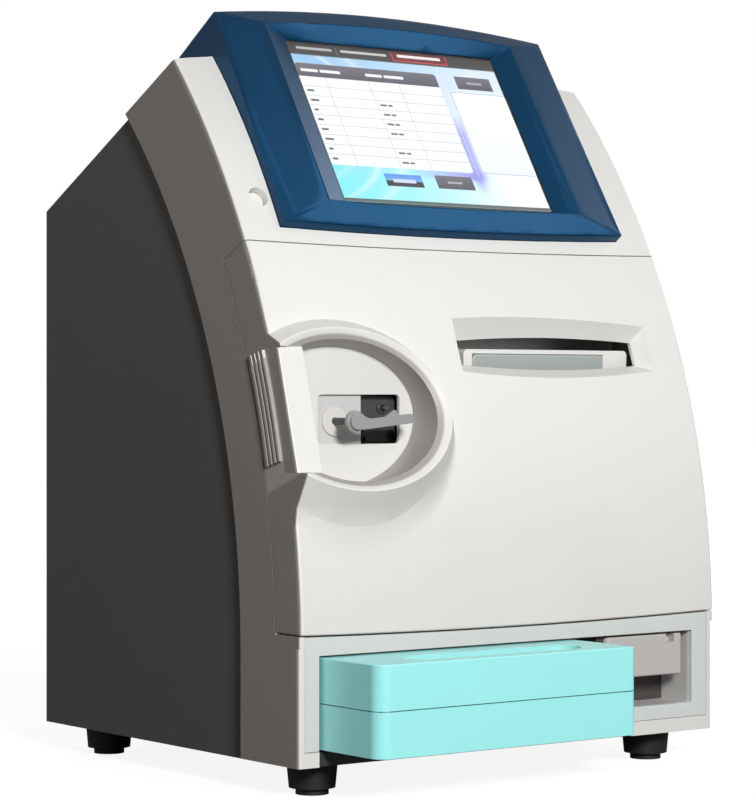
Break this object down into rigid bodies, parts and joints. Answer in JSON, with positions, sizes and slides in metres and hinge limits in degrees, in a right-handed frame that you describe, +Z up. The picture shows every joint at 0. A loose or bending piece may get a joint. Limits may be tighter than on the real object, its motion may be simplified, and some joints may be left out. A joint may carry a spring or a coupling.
{
  "type": "chemistry analyzer",
  "caption": "Benchtop chemistry analyzer with a tilted screen head, a fold-down curved door with a sampling bay and printer mouth, and a sliding reagent pack.",
  "frame": {"origin": "middle of the bounding box at the height of the table, pack part way out as pictured", "axes": "+Z up, -Y out of the front (the door and the pack face -Y), +X to the right seen from the front"},
  "size_m": [0.3344, 0.3608, 0.487],
  "materials": {
    "white_cover": "matte",
    "cool_white": "matte",
    "dark_housing": "matte",
    "blue_head": "satin",
    "screen_glass": "gloss",
    "screen_module": "gloss",
    "cyan_pack": "satin",
    "grey_plastic": "satin",
    "pale_plastic": "matte",
    "dark_plastic": "matte",
    "steel": "brushed",
    "sheet_steel": "zinc plated",
    "foot_rubber": "matte",
    "paper": "matte",
    "circuit_board": "matte"
  },
  "bodies": {
    "cabinet": {"base_tray": "dark_housing", "bay_liner": "cool_white", "bearing_cap": "pale_plastic", "button_switch": "dark_plastic", "case_screws": "steel", "chassis_plate": "sheet_steel", "deck_plate": "sheet_steel", "display_back_cover": "blue_head", "display_bezel": "blue_head", "display_bracket": "sheet_steel", "door_catch": "dark_plastic", "fan_frame": "dark_plastic", "fascia_panel": "cool_white", "foot_front_left": "foot_rubber", "foot_front_right": "foot_rubber", "foot_rear_left": "foot_rubber", "foot_rear_right": "foot_rubber", "front_frame": "white_cover", "head_bracket": "sheet_steel", "hinge_bracket_left": "sheet_steel", "hinge_bracket_right": "sheet_steel", "latch_guide": "dark_plastic", "lcd_panel": "screen_module", "main_board": "circuit_board", "measuring_block": "grey_plastic", "pack_coupler": "grey_plastic", "pack_guide_left": "dark_plastic", "pack_guide_right": "dark_plastic", "port_block": "dark_plastic", "port_ring": "dark_plastic", "power_inlet": "dark_plastic", "power_supply": "sheet_steel", "printer_body": "white_cover", "printer_cover": "grey_plastic", "pump_body": "grey_plastic", "rear_housing": "dark_housing", "rear_panel": "sheet_steel", "sample_probe": "steel", "sampling_bracket": "sheet_steel", "sampling_carrier": "pale_plastic", "sampling_plate": "white_cover", "touch_glass": "screen_glass"},
    "door": {"door_panel": "white_cover", "grip_strip": "white_cover", "hinge_pin_left": "steel", "hinge_pin_right": "steel"},
    "pack": {"pack_lower": "cyan_pack", "pack_upper": "cyan_pack"},
    "latch": {"pack_latch": "grey_plastic"},
    "lever": {"lever_shaft": "steel", "sampling_lever": "grey_plastic"},
    "button": {"power_button": "white_cover"},
    "roll": {"paper_roll": "paper"},
    "platen": {"platen_roller": "foot_rubber"},
    "pump_wheel": {"pump_rotor": "pale_plastic"},
    "fan_wheel": {"fan_rotor": "dark_plastic"}
  },
  "joints": [
    {"name": "door_hinge", "type": "hinge", "parent": "cabinet", "child": "door", "pos_m": [0, -0.1232, 0.104], "axis": [1, 0, 0], "range_deg": [0, 80]},
    {"name": "pack_slide", "type": "slide", "parent": "cabinet", "child": "pack", "axis": [0, 1, 0], "range_m": [-0.1, 0.054]},
    {"name": "latch_press", "type": "slide", "parent": "cabinet", "child": "latch", "axis": [0, 0, -1], "range_m": [0, 0.008], "stiffness_N_per_m": 300, "springref_m": -0.003},
    {"name": "lever_turn", "type": "hinge", "parent": "cabinet", "child": "lever", "pos_m": [-0.1105, -0.1064, 0.222], "axis": [0, -1, 0], "range_deg": [0, 55]},
    {"name": "button_press", "type": "slide", "parent": "cabinet", "child": "button", "axis": [0, 0.8661, -0.4998], "range_m": [0, 0.0015], "stiffness_N_per_m": 400, "springref_m": -0.001},
    {"name": "platen_spin", "type": "hinge", "parent": "cabinet", "child": "platen", "pos_m": [0.0535, -0.0714, 0.2545], "axis": [1, 0, 0], "continuous": true},
    {"name": "roll_spin", "type": "hinge", "parent": "cabinet", "child": "roll", "pos_m": [0.0535, -0.0594, 0.232], "axis": [1, 0, 0], "continuous": true},
    {"name": "pump_spin", "type": "hinge", "parent": "cabinet", "child": "pump_wheel", "pos_m": [-0.095, -0.0244, 0.16], "axis": [0, 1, 0], "continuous": true},
    {"name": "fan_spin", "type": "hinge", "parent": "cabinet", "child": "fan_wheel", "pos_m": [0.075, 0.1616, 0.21], "axis": [0, 1, 0], "continuous": true}
  ],
  "couplings": [
    {"joint": "platen_spin", "follows": "roll_spin", "ratio": -4.25}
  ]
}
